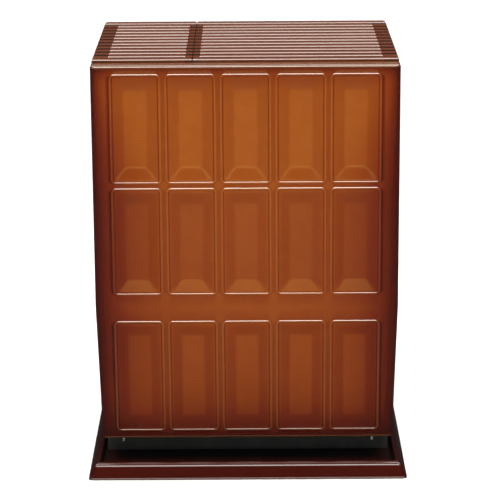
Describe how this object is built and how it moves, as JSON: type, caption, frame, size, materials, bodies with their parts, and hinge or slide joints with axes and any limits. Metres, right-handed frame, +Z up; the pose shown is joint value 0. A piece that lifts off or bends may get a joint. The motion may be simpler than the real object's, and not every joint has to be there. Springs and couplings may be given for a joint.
{
  "type": "oil stove",
  "caption": "Free-standing enamelled oil stove with a coffered front, a slotted top that lifts to its burner and controls, a rear flue spigot and a drip tray.",
  "frame": {"origin": "centre of the floor tray's underside, on the floor", "axes": "+Z up; the coffered front faces -Y; +X is to the right of someone facing the front"},
  "size_m": [0.594, 0.581, 0.7792],
  "materials": {
    "enamel_front": "shaded brown majolica enamel, glossy",
    "enamel_grille": "brown enamel, glossy",
    "enamel_tray": "dark red-brown enamel, glossy",
    "enamel_sides": "dark brown enamel, glossy",
    "black_paint": "satin black",
    "galvanised": "galvanised sheet",
    "heat_steel": "heat-darkened steel",
    "cast_iron": "cast and blacked",
    "tank_paint": "grey-green primer",
    "brass": "turned brass",
    "copper": "drawn copper",
    "plated": "bright zinc plating",
    "rope": "woven glass rope",
    "mica": "mica",
    "clear_plastic": "clear tube",
    "bakelite": "black phenolic moulding",
    "red_plastic": "red moulding",
    "aluminium": "die-cast aluminium",
    "dial": "satin plate with a plain scale"
  },
  "bodies": {
    "casing": {"front_panel": "enamel_front", "floor_tray": "enamel_tray", "plinth": "black_paint", "base_plate": "galvanised", "left_side_panel": "enamel_sides", "right_side_panel": "enamel_sides", "rear_panel": "galvanised", "rear_panel_screws": "plated", "panel_pegs": "plated", "heat_shield": "galvanised", "top_frame": "enamel_sides", "lid_hinge_pins": "plated", "burner_stand": "heat_steel", "burner_pot": "heat_steel", "burner_ring": "cast_iron", "inner_ring": "heat_steel", "oil_inlet": "brass", "drum_gasket": "rope", "combustion_drum": "heat_steel", "drum_cover": "cast_iron", "baffle": "cast_iron", "ignition_lid_pin": "plated", "flue_spigot": "black_paint", "flue_collar": "black_paint", "oil_tank": "tank_paint", "tank_brackets": "galvanised", "filler_neck": "tank_paint", "filler_strainer": "brass", "gauge_tube": "clear_plastic", "shutoff_valve": "brass", "feed_pipe": "copper", "burner_pipe": "copper", "pipe_nuts": "brass", "regulator_shelf": "galvanised", "regulator_body": "aluminium", "regulator_lid": "aluminium", "dial_plate": "dial"},
    "grille_lid": {"grille_lid": "enamel_grille"},
    "control_flap": {"control_flap": "enamel_grille"},
    "ignition_lid": {"ignition_lid": "cast_iron", "ignition_window": "mica", "window_ring": "plated", "ignition_knob": "bakelite"},
    "control_knob": {"control_knob": "bakelite", "control_rod": "plated"},
    "filler_cap": {"filler_cap": "bakelite"},
    "gauge_float": {"gauge_float": "red_plastic"},
    "regulator_float": {"regulator_float": "brass"},
    "shutoff_handle": {"shutoff_handle": "red_plastic"},
    "safety_lever": {"safety_lever": "red_plastic"},
    "cleaning_plunger": {"cleaning_plunger": "brass"}
  },
  "joints": [
    {"name": "grille_lid_hinge", "type": "hinge", "parent": "casing", "child": "grille_lid", "pos_m": [0.0906, 0.253, 0.7732], "axis": [-1, 0, 0], "range_deg": [0, 100]},
    {"name": "control_flap_hinge", "type": "hinge", "parent": "casing", "child": "control_flap", "pos_m": [-0.18685, 0.253, 0.7732], "axis": [-1, 0, 0], "range_deg": [0, 100]},
    {"name": "ignition_lid_hinge", "type": "hinge", "parent": "casing", "child": "ignition_lid", "pos_m": [0.0906, 0.025, 0.6516], "axis": [-1, 0, 0], "range_deg": [0, 105]},
    {"name": "control_knob_turn", "type": "hinge", "parent": "casing", "child": "control_knob", "pos_m": [-0.206, -0.124, 0.7195], "axis": [0, 0, -1], "range_deg": [0, 270]},
    {"name": "filler_cap_lift", "type": "slide", "parent": "casing", "child": "filler_cap", "axis": [0, 0, 1], "range_m": [0, 0.025]},
    {"name": "gauge_float_rise", "type": "slide", "parent": "casing", "child": "gauge_float", "axis": [0, 0, 1], "range_m": [0, 0.03]},
    {"name": "regulator_float_rise", "type": "slide", "parent": "casing", "child": "regulator_float", "axis": [0, 0, 1], "range_m": [0, 0.01]},
    {"name": "shutoff_turn", "type": "hinge", "parent": "casing", "child": "shutoff_handle", "pos_m": [-0.186, -0.089, 0.322], "axis": [0, 1, 0], "range_deg": [0, 90]},
    {"name": "safety_lever_tip", "type": "hinge", "parent": "casing", "child": "safety_lever", "pos_m": [-0.155, -0.154, 0.161], "axis": [0, 1, 0], "range_deg": [0, 25]},
    {"name": "plunger_pull", "type": "slide", "parent": "casing", "child": "cleaning_plunger", "axis": [0, -1, 0], "range_m": [0, 0.022]}
  ]
}
